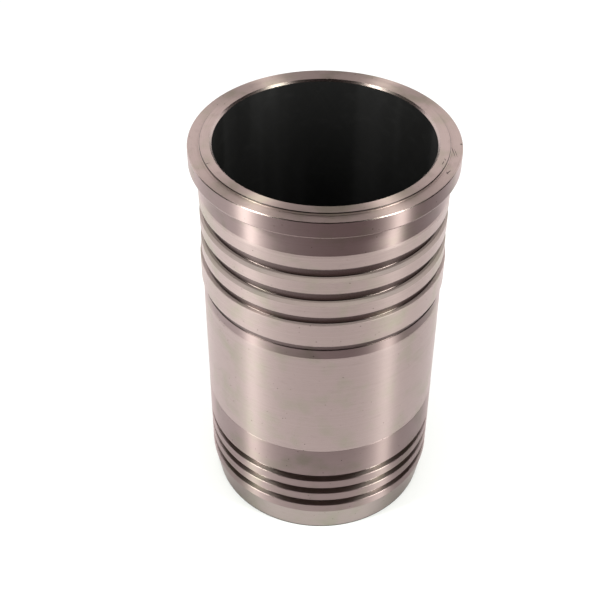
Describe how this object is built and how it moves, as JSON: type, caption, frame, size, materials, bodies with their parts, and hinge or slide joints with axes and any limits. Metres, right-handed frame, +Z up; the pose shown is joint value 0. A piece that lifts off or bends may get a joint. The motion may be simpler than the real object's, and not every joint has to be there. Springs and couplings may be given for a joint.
{
  "type": "cylinder liner",
  "caption": "Turned wet cylinder liner with a clamping flange, raised fire ring, coolant grooves, collar and seal grooves at its lower end.",
  "frame": {"origin": "middle of the lower end face, where the liner stands", "axes": "+Z up the bore axis towards the flange; the part is the same all round, so +X and +Y are any two square directions"},
  "size_m": [0.1704, 0.1704, 0.2828],
  "materials": {
    "turned_iron": "turned satin outside with ground bands, dark coated bore"
  },
  "bodies": {
    "root": {"cylinder_liner": "turned_iron"}
  },
  "joints": []
}
